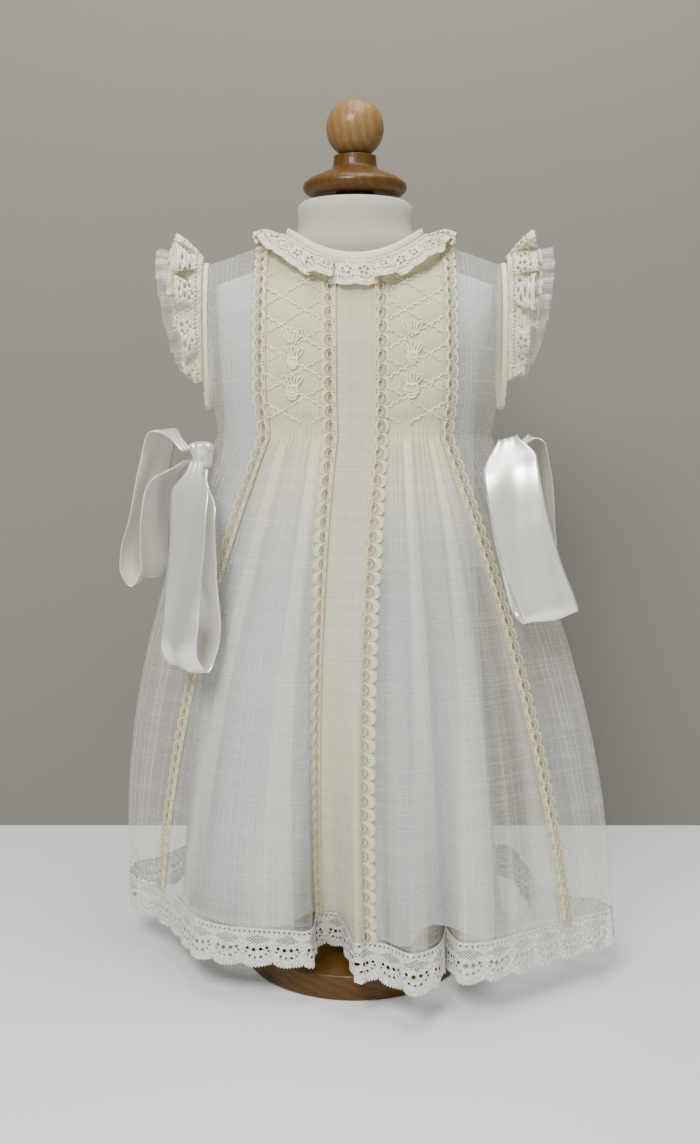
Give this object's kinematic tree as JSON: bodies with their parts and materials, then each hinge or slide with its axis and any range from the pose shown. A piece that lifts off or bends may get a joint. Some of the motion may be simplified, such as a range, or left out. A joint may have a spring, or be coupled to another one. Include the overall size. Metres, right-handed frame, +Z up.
{
  "type": "lace dress on dress form",
  "caption": "Baby's sheer smocked dress with lace strips, ruffled sleeves, lace hem, side bows and white slip, worn by a limbless tabletop dress form on a round foot.",
  "frame": {"origin": "centre of the foot's underside", "axes": "+Z up along the stand; -Y the way the dress's front faces; +X to the right of someone facing the front"},
  "size_m": [0.3489, 0.2295, 0.608],
  "materials": {
    "form_linen": "linen, matte",
    "turned_wood": "clear gloss varnish",
    "slip_lawn": "plain cotton lawn, matte",
    "sheer_cloth": "sheer, fine slubbed weave",
    "smocked_cloth": "sheer cloth, smocked above the waist",
    "cotton_lace": "cotton lace, matte",
    "ecru_lace": "cotton edging, matte",
    "stitch_thread": "stranded cotton",
    "satin_ribbon": "satin, glossy"
  },
  "bodies": {
    "root": {"form_torso": "form_linen", "neck_cap": "turned_wood", "ball_finial": "turned_wood", "stand_pole": "turned_wood", "stand_foot": "turned_wood", "slip_front": "slip_lawn", "slip_back": "slip_lawn", "centre_front": "sheer_cloth", "smocked_front_left": "smocked_cloth", "smocked_front_right": "smocked_cloth", "side_front_left": "sheer_cloth", "side_front_right": "sheer_cloth", "back_left": "sheer_cloth", "back_right": "sheer_cloth", "neck_band": "sheer_cloth", "armhole_band_left": "sheer_cloth", "armhole_band_right": "sheer_cloth", "sleeve_ruffle_left": "sheer_cloth", "sleeve_ruffle_right": "sheer_cloth", "sleeve_lace_left": "cotton_lace", "sleeve_lace_right": "cotton_lace", "neck_ruffle": "cotton_lace", "hem_lace_front": "cotton_lace", "hem_lace_back": "cotton_lace", "lace_outer_left": "ecru_lace", "lace_inner_left": "ecru_lace", "lace_inner_right": "ecru_lace", "lace_outer_right": "ecru_lace", "rosebud_upper_left": "stitch_thread", "rosebud_lower_left": "stitch_thread", "rosebud_upper_right": "stitch_thread", "rosebud_lower_right": "stitch_thread", "knot_left": "satin_ribbon", "knot_right": "satin_ribbon", "bow_left_front_loop": "satin_ribbon", "bow_left_back_loop": "satin_ribbon", "bow_right_front_loop": "satin_ribbon", "bow_right_back_loop": "satin_ribbon"}
  },
  "joints": []
}
